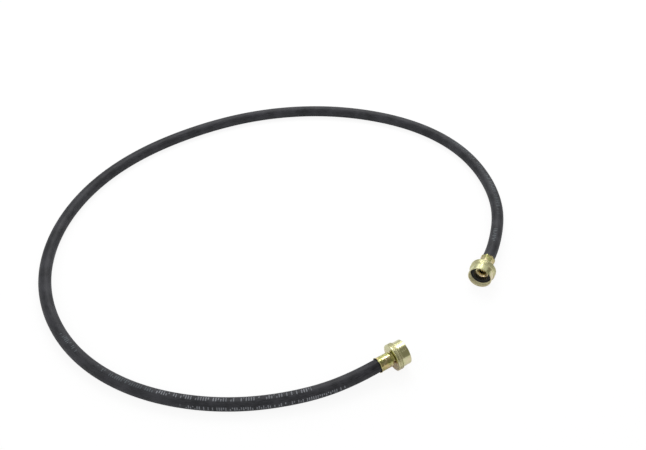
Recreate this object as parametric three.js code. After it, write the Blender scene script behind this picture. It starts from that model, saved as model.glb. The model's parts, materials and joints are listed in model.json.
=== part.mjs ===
// Washing machine fill hose: a rubber hose lying in one wide loop, with a crimped swivel
// coupling on each end. Millimetres, +Z up, the surface that it lies on is z = 0.
// Lengths along a coupling are counted from the tail of its ferrule towards its mouth.

import * as THREE from 'three';
import { NURBSCurve } from 'three/addons/curves/NURBSCurve.js';

// Hose
const HOSE_DIAMETER = 15.2;
const HOSE_BORE = 9.5;
const HOSE_SIDES = 12;
const HOSE_STEPS = 50;

// Clearances between pieces
const SEAT_GAP = 0.3;
const NECK_PLAY = 0.35;
const WASHER_PLAY = 0.4;
const FLANGE_PLAY = 0.9;

// Ferrule, the thin sleeve crimped over the end of the hose
const FERRULE_LENGTH = 17.4;
const FERRULE_WALL = 0.45;
const FERRULE_END_WALL = 1.3;
const FERRULE_SHOULDER = 2.2;
const SHOULDER_STEPS = 4;
const FERRULE_SEGMENTS = 48;
const FLARE_LENGTH = 2.6;
const FLARE_RISE = 0.6;
const FLARE_STEPS = 3;
const CRIMP_JAWS = 8;
const CRIMP_RIDGE = 0.5;
const GROOVE_COUNT = 3;
const GROOVE_PITCH = 4.2;
const GROOVE_WIDTH = 1.4;
const GROOVE_SHARE = 0.7;

// Tailpiece, the barbed tube with a flange that carries the nut
const BARB_COUNT = 4;
const BARB_PITCH = 3.1;
const BARB_HEIGHT = 0.4;
const BARB_STEP = 0.25;
const SHANK_LENGTH = 1.9;
const SHANK_WALL = 0.7;
const NECK_DIAMETER = 10.8;
const NECK_WALL = 0.9;
const NECK_SHOWING = 1.1;
const FLANGE_THICKNESS = 2.4;
const FLANGE_ROUND = 0.4;
const FUNNEL_RISE = 2.1;
const FUNNEL_STEP = 1.0;
const FUNNEL_DEPTH = 2.6;
const TAILPIECE_SEGMENTS = 28;

// Washer
const WASHER_DIAMETER = 25.4;
const WASHER_WIDTH = 3.9;
const WASHER_THICKNESS = 3.8;
const WASHER_ROUND = 0.4;
const WASHER_SEGMENTS = 36;

// Swivel nut: a knurled collar, and a skirt with the thread inside
const THREAD_MAJOR_DIAMETER = 27.2;
const THREAD_DEPTH = 6.0;
const NUT_WALL = 0.8;
const NUT_BASE = 4.1;
const COLLAR_RISE = 1.35;
const COLLAR_WIDTH = 7.2;
const COLLAR_ROUND = 1.1;
const COLLAR_LIP_WIDTH = 0.9;
const COLLAR_LIP_DROP = 0.6;
const MOUTH_CHAMFER = 0.3;
const RIM_FLAT = 0.4;
const NUT_SEGMENTS = 40;

// Where the two couplings lie: the middle of each ferrule's tail, the heading of the mouth
// and the turn of the crimp about the coupling, in degrees
const COUPLING_TILT = 4;
const TAP_END = { name: 'tap', tail: [-107.1, 10.5], heading: -19.5, crimpTurn: 33 };
const MACHINE_END = { name: 'machine', tail: [107.7, 3.9], heading: -164.5, crimpTurn: 35 };

// The loop between the couplings: control points of a smooth spline, chosen by hand
const LOOP_POINTS = [
  [-174, 38.5, 10],
  [-230, 83, 7.9],
  [-273, 138, 7.6],
  [-302, 202, 7.6],
  [-311, 273, 7.6],
  [-297, 342, 7.6],
  [-263, 404, 7.6],
  [-211, 452, 7.6],
  [-148, 484, 7.6],
  [-79, 498, 7.6],
  [-8, 494, 7.6],
  [60, 475, 7.6],
  [123, 447, 7.6],
  [179, 407, 7.6],
  [226, 356, 7.6],
  [261, 295, 7.6],
  [281, 227, 7.6],
  [277.5, 155.5, 7.6],
  [247, 91.5, 7.9],
  [197, 39.5, 10],
];

// Control points on a coupling's own axis, which lead the hose straight out of its ferrule
const LEAD_POINTS = [8, -6, -28];

// Sizes worked out from those above
const hoseRadius = HOSE_DIAMETER / 2;
const boreRadius = HOSE_BORE / 2;
const neckRadius = NECK_DIAMETER / 2;
const washerRadius = WASHER_DIAMETER / 2;
const seatRadius = washerRadius + WASHER_PLAY;
const threadRadius = THREAD_MAJOR_DIAMETER / 2;
const skirtRadius = Math.max(threadRadius, seatRadius) + NUT_WALL;
const collarRadius = skirtRadius + COLLAR_RISE;
const flangeRadius = seatRadius - FLANGE_PLAY;

const shoulderAt = FERRULE_LENGTH - FERRULE_END_WALL;
const hoseEndAt = shoulderAt - SEAT_GAP;
const nutBackAt = FERRULE_LENGTH + NECK_SHOWING;
const socketFloorAt = nutBackAt + NUT_BASE;
const flangeBackAt = socketFloorAt + SEAT_GAP;
const flangeFrontAt = flangeBackAt + FLANGE_THICKNESS;
const washerBackAt = flangeFrontAt + SEAT_GAP;
const washerFrontAt = washerBackAt + WASHER_THICKNESS;
const mouthAt = washerFrontAt + THREAD_DEPTH;

const zincPlate = new THREE.MeshStandardMaterial({ color: 0xc8bf93, roughness: 0.28, metalness: 1 });
const hoseRubber = new THREE.MeshStandardMaterial({ color: 0x2a2b2e, roughness: 0.6, metalness: 0 });
const washerRubber = new THREE.MeshStandardMaterial({ color: 0x161618, roughness: 0.7, metalness: 0 });

const radians = (degrees) => THREE.MathUtils.degToRad(degrees);

// A turned solid about the X axis. The profile is a closed list of [along, radius], out along
// the outer side towards +X and back along the inner side.
function turned(profile, segments) {
  const closed = [...profile, profile[0]];
  const points = closed.map(([along, radius]) => new THREE.Vector2(radius, along));
  const geometry = new THREE.LatheGeometry(points, segments);
  geometry.rotateZ(-Math.PI / 2);
  return geometry;
}

// A quarter round between two square edges, as [along, radius] points in even steps
function quarterRound(centreAlong, centreRadius, radius, startDegrees, steps) {
  const points = [];
  for (let step = 0; step <= steps; step += 1) {
    const angle = radians(startDegrees - (90 * step) / steps);
    points.push([centreAlong + radius * Math.cos(angle), centreRadius + radius * Math.sin(angle)]);
  }
  return points;
}

// Hose
function axisPoint(end, along) {
  const direction = couplingDirection(end);
  const tail = new THREE.Vector3(end.tail[0], end.tail[1], tailHeight());
  return tail.addScaledVector(direction, along);
}

function couplingDirection(end) {
  const level = Math.cos(radians(COUPLING_TILT));
  const heading = radians(end.heading);
  const rise = Math.sin(radians(COUPLING_TILT));
  return new THREE.Vector3(level * Math.cos(heading), level * Math.sin(heading), rise);
}

// The back edge of the knurled collar is what touches the surface
function tailHeight() {
  const contactAt = nutBackAt + COLLAR_ROUND;
  const tilt = radians(COUPLING_TILT);
  return collarRadius * Math.cos(tilt) - contactAt * Math.sin(tilt);
}

function hoseRoute() {
  const leadOut = [hoseEndAt, ...LEAD_POINTS].map((along) => axisPoint(TAP_END, along));
  const loop = LOOP_POINTS.map(([x, y, z]) => new THREE.Vector3(x, y, z));
  const leadIn = [hoseEndAt, ...LEAD_POINTS].map((along) => axisPoint(MACHINE_END, along));
  const points = [...leadOut, ...loop, ...leadIn.reverse()];
  const degree = 3;
  const spans = points.length - degree;
  const knots = [];
  for (let index = 0; index < points.length + degree + 1; index += 1) {
    knots.push(THREE.MathUtils.clamp(index - degree, 0, spans));
  }
  const weighted = points.map((point) => new THREE.Vector4(point.x, point.y, point.z, 1));
  const route = new NURBSCurve(degree, knots, weighted);
  route.arcLengthDivisions = 40 * spans;
  return route;
}

function circlePoints(radius, sides) {
  const points = [];
  for (let side = 0; side < sides; side += 1) {
    const angle = (2 * Math.PI * side) / sides;
    points.push(new THREE.Vector2(radius * Math.cos(angle), radius * Math.sin(angle)));
  }
  return points;
}

function hoseGeometry() {
  const section = new THREE.Shape(circlePoints(hoseRadius, HOSE_SIDES));
  section.holes.push(new THREE.Path(circlePoints(boreRadius, HOSE_SIDES)));
  return new THREE.ExtrudeGeometry(section, {
    steps: HOSE_STEPS,
    bevelEnabled: false,
    extrudePath: hoseRoute(),
  });
}

// Ferrule. The jaws leave flats with a standing ridge between each two, three pinched grooves
// cross the ridges, and the tail flares where the jaws did not reach.
function crimpRadius(angle, flatRadius, ridge) {
  const sector = (2 * Math.PI) / CRIMP_JAWS;
  const fromFlat = THREE.MathUtils.euclideanModulo(angle + sector / 2, sector) - sector / 2;
  return Math.min(flatRadius / Math.cos(fromFlat), flatRadius + ridge);
}

function flareRise(along) {
  return FLARE_RISE * (1 - along / FLARE_LENGTH) ** 2;
}

function ferruleRows() {
  const bore = hoseRadius + SEAT_GAP;
  const flat = bore + FERRULE_WALL;
  const lip = neckRadius + SEAT_GAP;
  const rows = [];
  const flareStations = [];
  for (let step = 0; step <= FLARE_STEPS; step += 1) {
    flareStations.push((FLARE_LENGTH * step) / FLARE_STEPS);
  }
  for (const along of flareStations) {
    rows.push([along, flat + flareRise(along), CRIMP_RIDGE]);
  }
  const bodyEnd = FERRULE_LENGTH - FERRULE_SHOULDER;
  const grooveSpan = GROOVE_PITCH * (GROOVE_COUNT - 1);
  const firstGroove = (FLARE_LENGTH + bodyEnd - grooveSpan) / 2;
  for (let groove = 0; groove < GROOVE_COUNT; groove += 1) {
    const middle = firstGroove + groove * GROOVE_PITCH;
    rows.push([middle - GROOVE_WIDTH / 2, flat, CRIMP_RIDGE]);
    rows.push([middle, flat, CRIMP_RIDGE * (1 - GROOVE_SHARE)]);
    rows.push([middle + GROOVE_WIDTH / 2, flat, CRIMP_RIDGE]);
  }
  rows.push([bodyEnd, flat, CRIMP_RIDGE]);
  const shoulderDrop = flat - lip - FERRULE_WALL;
  for (let step = 1; step <= SHOULDER_STEPS; step += 1) {
    const angle = radians((90 * step) / SHOULDER_STEPS);
    const along = bodyEnd + FERRULE_SHOULDER * Math.sin(angle);
    const ridge = CRIMP_RIDGE * (1 - step / SHOULDER_STEPS) ** 2;
    rows.push([along, flat - shoulderDrop * (1 - Math.cos(angle)), ridge]);
  }
  rows.push([FERRULE_LENGTH, lip, 0]);
  rows.push([shoulderAt, lip, 0]);
  rows.push([shoulderAt, bore, 0]);
  for (const along of flareStations.reverse()) {
    rows.push([along, bore + flareRise(along), 0]);
  }
  return rows;
}

function ferruleGeometry() {
  const rows = ferruleRows();
  const positions = [];
  for (const [along, radius, ridge] of rows) {
    for (let segment = 0; segment < FERRULE_SEGMENTS; segment += 1) {
      const angle = (2 * Math.PI * segment) / FERRULE_SEGMENTS;
      const reach = ridge > 0 ? crimpRadius(angle, radius, ridge) : radius;
      positions.push(along, reach * Math.cos(angle), reach * Math.sin(angle));
    }
  }
  const indices = [];
  rows.forEach((row, index) => {
    const here = index * FERRULE_SEGMENTS;
    const next = ((index + 1) % rows.length) * FERRULE_SEGMENTS;
    for (let segment = 0; segment < FERRULE_SEGMENTS; segment += 1) {
      const turn = (segment + 1) % FERRULE_SEGMENTS;
      indices.push(here + segment, here + turn, next + segment);
      indices.push(here + turn, next + turn, next + segment);
    }
  });
  const geometry = new THREE.BufferGeometry();
  geometry.setAttribute('position', new THREE.Float32BufferAttribute(positions, 3));
  geometry.setIndex(indices);
  geometry.computeVertexNormals();
  return geometry;
}

// Tailpiece. The barbs rise towards the flange, so the hose slides on and can't slip off.
function tailpieceGeometry() {
  const crest = boreRadius * Math.cos(Math.PI / HOSE_SIDES) - SEAT_GAP;
  const root = crest - BARB_HEIGHT;
  const waterway = root - SHANK_WALL;
  const neckBore = neckRadius - NECK_WALL;
  const barbsEnd = shoulderAt - SHANK_LENGTH;
  const tip = barbsEnd - BARB_COUNT * BARB_PITCH;
  const profile = [[tip, waterway]];
  for (let barb = 0; barb < BARB_COUNT; barb += 1) {
    const start = tip + barb * BARB_PITCH;
    profile.push([start, root]);
    profile.push([start + BARB_PITCH - BARB_STEP, crest]);
  }
  profile.push([barbsEnd, root]);
  profile.push([shoulderAt, root]);
  profile.push([shoulderAt, neckRadius]);
  profile.push([flangeBackAt, neckRadius]);
  const flangeEdge = flangeRadius - FLANGE_ROUND;
  profile.push(...quarterRound(flangeBackAt + FLANGE_ROUND, flangeEdge, FLANGE_ROUND, 180, 2));
  profile.push(...quarterRound(flangeFrontAt - FLANGE_ROUND, flangeEdge, FLANGE_ROUND, 90, 2));
  profile.push([flangeFrontAt, neckBore + FUNNEL_RISE]);
  profile.push([flangeFrontAt - FUNNEL_STEP, neckBore + FUNNEL_RISE - FUNNEL_STEP]);
  profile.push([flangeFrontAt - FUNNEL_STEP, neckBore + FUNNEL_RISE / 3]);
  profile.push([flangeFrontAt - FUNNEL_DEPTH, neckBore]);
  const throat = shoulderAt + SHANK_WALL;
  profile.push([throat + neckBore - waterway, neckBore]);
  profile.push([throat, waterway]);
  return turned(profile, TAILPIECE_SEGMENTS);
}

// Washer
function washerGeometry() {
  const inner = washerRadius - WASHER_WIDTH;
  const back = washerBackAt + WASHER_ROUND;
  const front = washerFrontAt - WASHER_ROUND;
  const profile = [
    ...quarterRound(back, washerRadius - WASHER_ROUND, WASHER_ROUND, 180, 2),
    ...quarterRound(front, washerRadius - WASHER_ROUND, WASHER_ROUND, 90, 2),
    ...quarterRound(front, inner + WASHER_ROUND, WASHER_ROUND, 0, 2),
    ...quarterRound(back, inner + WASHER_ROUND, WASHER_ROUND, -90, 2),
  ];
  return turned(profile, WASHER_SEGMENTS);
}

// Swivel nut. The bore is at the thread's major diameter, so the male thread goes in.
function nutGeometry() {
  const lipBackAt = nutBackAt + COLLAR_WIDTH - COLLAR_LIP_WIDTH;
  const lipRadius = collarRadius - COLLAR_LIP_DROP;
  const reliefAt = washerFrontAt + MOUTH_CHAMFER;
  const rimInner = skirtRadius - MOUTH_CHAMFER - RIM_FLAT;
  const roundCentre = collarRadius - COLLAR_ROUND;
  const profile = [
    [nutBackAt, neckRadius + NECK_PLAY],
    ...quarterRound(nutBackAt + COLLAR_ROUND, roundCentre, COLLAR_ROUND, 180, 4),
    [lipBackAt, collarRadius],
    [lipBackAt + MOUTH_CHAMFER, lipRadius],
    [nutBackAt + COLLAR_WIDTH - MOUTH_CHAMFER, lipRadius],
    [nutBackAt + COLLAR_WIDTH, skirtRadius],
    [mouthAt - MOUTH_CHAMFER, skirtRadius],
    [mouthAt, skirtRadius - MOUTH_CHAMFER],
    [mouthAt, rimInner],
    [mouthAt - MOUTH_CHAMFER, threadRadius],
    [reliefAt, threadRadius],
    [washerFrontAt, seatRadius],
    [socketFloorAt, seatRadius],
    [socketFloorAt, neckRadius + NECK_PLAY],
  ];
  return turned(profile, NUT_SEGMENTS);
}

function namedMesh(name, geometry, material) {
  const mesh = new THREE.Mesh(geometry, material);
  mesh.name = name;
  return mesh;
}

function coupling(end) {
  const group = new THREE.Group();
  const ferrule = namedMesh(`${end.name}_ferrule`, ferruleGeometry(), zincPlate);
  ferrule.rotation.x = radians(end.crimpTurn);
  group.add(ferrule);
  group.add(namedMesh(`${end.name}_tailpiece`, tailpieceGeometry(), zincPlate));
  group.add(namedMesh(`${end.name}_nut`, nutGeometry(), zincPlate));
  group.add(namedMesh(`${end.name}_washer`, washerGeometry(), washerRubber));
  group.rotation.order = 'ZYX';
  group.rotation.z = radians(end.heading);
  group.rotation.y = -radians(COUPLING_TILT);
  group.position.set(end.tail[0], end.tail[1], tailHeight());
  return group;
}

const fillHose = new THREE.Group();
fillHose.add(namedMesh('hose', hoseGeometry(), hoseRubber));
fillHose.add(coupling(TAP_END));
fillHose.add(coupling(MACHINE_END));

export default fillHose;
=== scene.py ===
# %% [markdown]
# # Washing machine fill hose
#
# A fill hose carries water from a wall tap to a washing machine. It is one thick rubber tube with
# a plated steel coupling crimped on each end: a ferrule squeezes the rubber onto a barbed
# tailpiece, and a swivel nut with a rubber washer inside screws onto the tap or the machine.
#
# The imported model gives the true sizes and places. It could be shown as it is, but its tube has
# twelve sides and its nuts have no thread or knurl, so each piece is made again here with its
# fine forms and finishes, in the same place, and rides on the same body.

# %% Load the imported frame
import json
import math

import bmesh
import bpy
from mathutils import Matrix, Vector


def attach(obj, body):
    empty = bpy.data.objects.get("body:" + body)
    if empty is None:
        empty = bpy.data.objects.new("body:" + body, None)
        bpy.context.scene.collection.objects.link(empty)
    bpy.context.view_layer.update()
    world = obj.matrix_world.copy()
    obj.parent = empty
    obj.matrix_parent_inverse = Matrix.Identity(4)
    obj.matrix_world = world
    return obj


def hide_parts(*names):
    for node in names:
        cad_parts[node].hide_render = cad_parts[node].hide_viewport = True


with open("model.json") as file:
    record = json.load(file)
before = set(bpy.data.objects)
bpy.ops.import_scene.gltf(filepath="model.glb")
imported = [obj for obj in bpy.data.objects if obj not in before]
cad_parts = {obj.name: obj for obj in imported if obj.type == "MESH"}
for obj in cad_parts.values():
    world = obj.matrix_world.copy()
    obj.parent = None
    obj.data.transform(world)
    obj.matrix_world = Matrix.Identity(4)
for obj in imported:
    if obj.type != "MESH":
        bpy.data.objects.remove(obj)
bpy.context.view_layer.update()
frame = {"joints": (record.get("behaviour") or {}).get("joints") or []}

scene = bpy.context.scene
scene.view_settings.view_transform = "Standard"

# %% [markdown]
# ## The camera
#
# A camera could be placed by eye. Here it comes from the hose itself: the tube has one thickness
# all the way, so how wide it looks in each row of the photograph tells how far away it is there.
# That gave a view 44 degrees down and a focal length of 850 pixels in a frame 646 pixels wide.

# %% Camera
FRAME_WIDTH = 646
FOCAL_PIXELS = 850
SENSOR_WIDTH = 36.0
CAMERA_PLACE = (-0.577, -0.3057, 0.7726)
VIEW_DOWN = 44
VIEW_HEADING = -50

camera_data = bpy.data.cameras.new("photo_camera")
camera_data.sensor_width = SENSOR_WIDTH
camera_data.lens = SENSOR_WIDTH * FOCAL_PIXELS / FRAME_WIDTH
camera = bpy.data.objects.new("photo_camera", camera_data)
camera.location = CAMERA_PLACE
camera.rotation_euler = (math.radians(90 - VIEW_DOWN), 0, math.radians(VIEW_HEADING))
scene.collection.objects.link(camera)
scene.camera = camera
print("lens in mm:", round(camera_data.lens, 2))

# %% [markdown]
# ## Small helpers for node trees
#
# Finishes and repeated shapes are both node trees. Placing each node by hand takes many lines, so
# one helper adds a node, sets its options and fills or links its inputs. Another makes the named
# inputs and outputs of a group, and the rest are short forms of what comes again and again.

# %% Node helpers
def put(tree, kind, values=None, **options):
    node = tree.nodes.new(kind)
    for name, value in options.items():
        setattr(node, name, value)
    for socket, value in (values or {}).items():
        target = node.inputs[socket]
        if isinstance(value, bpy.types.NodeSocket):
            tree.links.new(value, target)
        else:
            target.default_value = value
    return node


def math_node(tree, operation, first, second=0.0, third=0.0):
    values = {0: first, 1: second, 2: third}
    return put(tree, "ShaderNodeMath", values, operation=operation).outputs[0]


def combined(tree, x=0.0, y=0.0, z=0.0):
    return put(tree, "ShaderNodeCombineXYZ", {0: x, 1: y, 2: z}).outputs[0]


def new_group(name, kind, inputs, outputs):
    tree = bpy.data.node_groups.new(name, kind)
    for in_out, sockets in (("INPUT", inputs), ("OUTPUT", outputs)):
        for label, socket_type in sockets:
            tree.interface.new_socket(name=label, in_out=in_out, socket_type=socket_type)
    return tree, put(tree, "NodeGroupInput").outputs, put(tree, "NodeGroupOutput")


def colour_mix(tree, factor, first, second):
    node = put(tree, "ShaderNodeMix", data_type="RGBA")
    for socket, value in ((0, factor), (6, first), (7, second)):
        if isinstance(value, bpy.types.NodeSocket):
            tree.links.new(value, node.inputs[socket])
        else:
            node.inputs[socket].default_value = value
    return node.outputs[2]


def spread(tree, value, low, high, new_low, new_high):
    values = {0: value, 1: low, 2: high, 3: new_low, 4: new_high}
    return put(tree, "ShaderNodeMapRange", values).outputs[0]


def give(tree, node, values):
    for socket, value in values.items():
        tree.links.new(value, node.inputs[socket])


# %% [markdown]
# ## Rubber grain
#
# Extruded rubber is never one flat black. It has a fine pebbled skin, pulled into faint lines
# along the tube, and paler patches where wax blooms to the surface. A picture texture could hold
# this, but noise needs no file and stays sharp at any distance. The group reads a coordinate that
# runs along the straightened hose, so the grain follows every bend. The washers use it too, and
# so do the fresh and the worn ink of the hose's print.

# %% Rubber grain group
COLOUR = "NodeSocketColor"
NUMBER = "NodeSocketFloat"
POINT = "NodeSocketVector"
PATCH_SCALE = 60.0
FINE_SHARE = 0.9
FINE_RANGE = (0.3, 0.7)
BLOOM_RANGE = (0.75, 1.15)
RUBBER_ROUGHNESS = (0.42, 0.62)

rubber_grain, grain_in, grain_out = new_group(
    "rubber_grain",
    "ShaderNodeTree",
    [
        ("Place", POINT), ("Dark", COLOUR), ("Bloom", COLOUR), ("Grain Scale", NUMBER),
        ("Stretch", NUMBER),
    ],
    [("Colour", COLOUR), ("Roughness", NUMBER), ("Height", NUMBER)],
)
squeeze = math_node(rubber_grain, "DIVIDE", 1.0, grain_in["Stretch"])
stretched = put(
    rubber_grain,
    "ShaderNodeVectorMath",
    {0: grain_in["Place"], 1: combined(rubber_grain, 1.0, 1.0, squeeze)},
    operation="MULTIPLY",
).outputs[0]
fine = put(
    rubber_grain,
    "ShaderNodeTexNoise",
    {"Vector": stretched, "Scale": grain_in["Grain Scale"], "Detail": 3.0, "Roughness": 0.6},
).outputs[0]
patches = put(
    rubber_grain,
    "ShaderNodeTexNoise",
    {"Vector": grain_in["Place"], "Scale": PATCH_SCALE, "Detail": 3.0},
).outputs[0]
bloom_level = math_node(rubber_grain, "MULTIPLY_ADD", fine, FINE_SHARE, patches)
bloom_mask = spread(rubber_grain, bloom_level, *BLOOM_RANGE, 0.0, 1.0)
give(
    rubber_grain,
    grain_out,
    {
        "Colour": colour_mix(rubber_grain, bloom_mask, grain_in["Dark"], grain_in["Bloom"]),
        "Roughness": spread(rubber_grain, fine, *FINE_RANGE, *RUBBER_ROUGHNESS),
        "Height": fine,
    },
)
print("rubber_grain nodes:", len(rubber_grain.nodes))

# %% Rubber materials
def grained_rubber(name, dark, bloom, grain_scale, stretch, bump_depth):
    material = bpy.data.materials.new(name)
    material.use_nodes = True
    tree = material.node_tree
    shader = tree.nodes["Principled BSDF"]
    shader.inputs["Specular IOR Level"].default_value = 0.3
    place = put(tree, "ShaderNodeAttribute", attribute_name="place").outputs["Vector"]
    grain = put(
        tree,
        "ShaderNodeGroup",
        {
            "Place": place, "Dark": (*dark, 1), "Bloom": (*bloom, 1), "Grain Scale": grain_scale,
            "Stretch": stretch,
        },
        node_tree=rubber_grain,
    ).outputs
    bump = put(
        tree,
        "ShaderNodeBump",
        {"Height": grain["Height"], "Strength": 0.6, "Distance": bump_depth},
    ).outputs[0]
    give(
        tree,
        shader,
        {"Base Color": grain["Colour"], "Roughness": grain["Roughness"], "Normal": bump},
    )
    return material


hose_rubber = grained_rubber(
    "hose_rubber", dark=(0.0105, 0.0112, 0.014), bloom=(0.035, 0.0355, 0.042),
    grain_scale=900.0, stretch=6.0, bump_depth=0.0003,
)
washer_rubber = grained_rubber(
    "washer_rubber", dark=(0.008, 0.008, 0.009), bloom=(0.02, 0.02, 0.021),
    grain_scale=1400.0, stretch=1.0, bump_depth=0.0001,
)
print_ink = grained_rubber(
    "print_ink", dark=(0.12, 0.125, 0.14), bloom=(0.24, 0.25, 0.27),
    grain_scale=1600.0, stretch=1.0, bump_depth=0.0001,
)
worn_ink = grained_rubber(
    "worn_ink", dark=(0.055, 0.062, 0.07), bloom=(0.11, 0.125, 0.135),
    grain_scale=1600.0, stretch=1.0, bump_depth=0.0001,
)
for material in (hose_rubber, washer_rubber, print_ink, worn_ink):
    print("grained material:", material.name)

# %% [markdown]
# ## The hose's route
#
# A free hose lies in a curve that its own stiffness chooses, and it leaves each ferrule straight.
# It could be simulated, but the photograph already shows where it lies, so its route is a smooth
# spline through listed control points. These are the same points as in the solid model.
# Lengths along a coupling, here and below, count in millimetres from the tail of its ferrule.

# %% Sizes and places shared with the solid model
MM = 0.001
HOSE_RADIUS = 7.6
HOSE_BORE_RADIUS = 4.75
FERRULE_LENGTH = 17.4
FERRULE_END_WALL = 1.3
HOSE_END_GAP = 0.3
FERRULE_TO_NUT = 1.1
SHOULDER_INSIDE_AT = FERRULE_LENGTH - FERRULE_END_WALL
HOSE_END_AT = SHOULDER_INSIDE_AT - HOSE_END_GAP
NUT_BACK_AT = FERRULE_LENGTH + FERRULE_TO_NUT
TILT = math.radians(4)
COLLAR_RADIUS = 15.75
COLLAR_CORNER = 1.1
COLLAR_TOUCH_AT = NUT_BACK_AT + COLLAR_CORNER
TAIL_HEIGHT = COLLAR_RADIUS * math.cos(TILT) - COLLAR_TOUCH_AT * math.sin(TILT)
JOINT_AT = 27
LEAD_POINTS = [HOSE_END_AT, 8, -6, -28]
LOOP_POINTS = [
    (-174, 38.5, 10), (-230, 83, 7.9), (-273, 138, 7.6), (-302, 202, 7.6), (-311, 273, 7.6),
    (-297, 342, 7.6), (-263, 404, 7.6), (-211, 452, 7.6), (-148, 484, 7.6), (-79, 498, 7.6),
    (-8, 494, 7.6), (60, 475, 7.6), (123, 447, 7.6), (179, 407, 7.6), (226, 356, 7.6),
    (261, 295, 7.6), (281, 227, 7.6), (277.5, 155.5, 7.6), (247, 91.5, 7.9), (197, 39.5, 10),
]


def coupling_frame(tail, heading_degrees):
    # Its own Z runs from the ferrule's tail out through the mouth, and its own X points up
    heading = math.radians(heading_degrees)
    level = Vector((math.cos(heading), math.sin(heading), 0))
    ahead = level * math.cos(TILT) + Vector((0, 0, math.sin(TILT)))
    up = Vector((0, 0, math.cos(TILT))) - level * math.sin(TILT)
    turn = Matrix((up, ahead.cross(up), ahead)).transposed().to_4x4()
    return Matrix.Translation(Vector((*tail, TAIL_HEIGHT)) * MM) @ turn


def on_axis(end, along):
    return end["frame"] @ Vector((0, 0, along * MM))


ENDS = {
    "tap": {"frame": coupling_frame((-107.1, 10.5), -19.5), "crimp_turn": 33},
    "machine": {"frame": coupling_frame((107.7, 3.9), -164.5), "crimp_turn": 35},
}
for joint in frame["joints"]:
    end = ENDS[joint["name"].split("_")[0]]
    miss = (on_axis(end, JOINT_AT) - Vector(joint["pos_m"])).length
    print(joint["name"], "is off its coupling's axis by", round(miss * 1000, 3), "mm")

# %% The route as a curve
leads = {name: [on_axis(end, along) for along in LEAD_POINTS] for name, end in ENDS.items()}
loop = [Vector(point) * MM for point in LOOP_POINTS]
route_data = bpy.data.curves.new("hose_route", "CURVE")
route_data.dimensions = "3D"
route_spline = route_data.splines.new("NURBS")
control_points = leads["tap"] + loop + leads["machine"][::-1]
route_spline.points.add(len(control_points) - 1)
for point, place in zip(route_spline.points, control_points):
    point.co = (*place, 1)
route_spline.order_u = 4
route_spline.use_endpoint_u = True
route_spline.resolution_u = 24
hose_route = bpy.data.objects.new("hose_route", route_data)
scene.collection.objects.link(hose_route)
route_line = [vertex.co.copy() for vertex in hose_route.to_mesh().vertices]
hose_route.to_mesh_clear()
route_length = sum((b - a).length for a, b in zip(route_line, route_line[1:]))
print("route:", len(control_points), "control points,", round(route_length * 1000, 1), "mm long")

# %% [markdown]
# ## The hose
#
# The rubber is a thick-walled tube, 15.2 mm outside with a 9.5 mm bore. A curve's own bevel could
# thicken the route, but it makes no bore and keeps no coordinate along the hose. Geometry Nodes
# sweep two circles along the route instead, one for the outside and one for the bore, and store
# where each point would lie if the hose were pulled straight. The open ends are bridged after
# that, so the tube is one closed shell.

# %% Geometry Nodes helpers
GEOMETRY = "NodeSocketGeometry"
WHOLE = "NodeSocketInt"
FINISH = "NodeSocketMaterial"


def stored(tree, geometry, name, kind, value):
    values = {"Geometry": geometry, "Name": name, "Value": value}
    options = {"data_type": kind, "domain": "POINT"}
    return put(tree, "GeometryNodeStoreNamedAttribute", values, **options).outputs[0]


def named(tree, name, kind):
    return put(tree, "GeometryNodeInputNamedAttribute", {"Name": name}, data_type=kind).outputs[0]


def close_tree(tree, geometry, material, output):
    real = put(tree, "GeometryNodeRealizeInstances", {"Geometry": geometry}).outputs[0]
    smooth = put(tree, "GeometryNodeSetShadeSmooth", {"Geometry": real, "Shade Smooth": True})
    values = {"Geometry": smooth.outputs[0], "Material": material}
    dressed = put(tree, "GeometryNodeSetMaterial", values).outputs[0]
    tree.links.new(dressed, output.inputs[0])


def baked(source, tree, settings, name):
    # Runs a tree on an object and keeps the result as a plain mesh object at the origin
    modifier = source.modifiers.new(tree.name, "NODES")
    modifier.node_group = tree
    for item in tree.interface.items_tree:
        if item.in_out == "INPUT" and item.name in settings:
            modifier[item.identifier] = settings[item.name]
    graph = bpy.context.evaluated_depsgraph_get()
    mesh = bpy.data.meshes.new_from_object(source.evaluated_get(graph), depsgraph=graph)
    source.modifiers.remove(modifier)
    mesh.name = name
    result = bpy.data.objects.new(name, mesh)
    scene.collection.objects.link(result)
    return result


def shell_report(piece):
    shell = bmesh.new()
    shell.from_mesh(piece.data)
    open_edges = sum(1 for edge in shell.edges if not edge.is_manifold)
    volume = shell.calc_volume(signed=True)
    triangles = sum(len(face.verts) - 2 for face in shell.faces)
    shell.free()
    print(f"{piece.name}: {triangles} triangles, {open_edges} open edges, {volume * 1e6:.2f} cm3")


# %% Hose tree
hose_tree, hose_in, hose_out = new_group(
    "sweep_hose",
    "GeometryNodeTree",
    [
        ("Route", GEOMETRY), ("Outer Radius", NUMBER), ("Bore Radius", NUMBER), ("Sides", WHOLE),
        ("Ring Spacing", NUMBER), ("Finish", FINISH),
    ],
    [("Geometry", GEOMETRY)],
)


def upright_rail(tree, route, spacing):
    # The route cut into even steps, with one side of it always level, and its length stored
    level = put(tree, "GeometryNodeSetCurveNormal", {"Curve": route}, mode="Z_UP").outputs[0]
    rings = put(
        tree, "GeometryNodeResampleCurve", {"Curve": level, "Length": spacing}, mode="LENGTH"
    ).outputs[0]
    length = put(tree, "GeometryNodeSplineParameter").outputs["Length"]
    return stored(tree, rings, "along", "FLOAT", length)


def with_section(tree, profile):
    own_place = put(tree, "GeometryNodeInputPosition").outputs[0]
    return stored(tree, profile, "section", "FLOAT_VECTOR", own_place)


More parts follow.
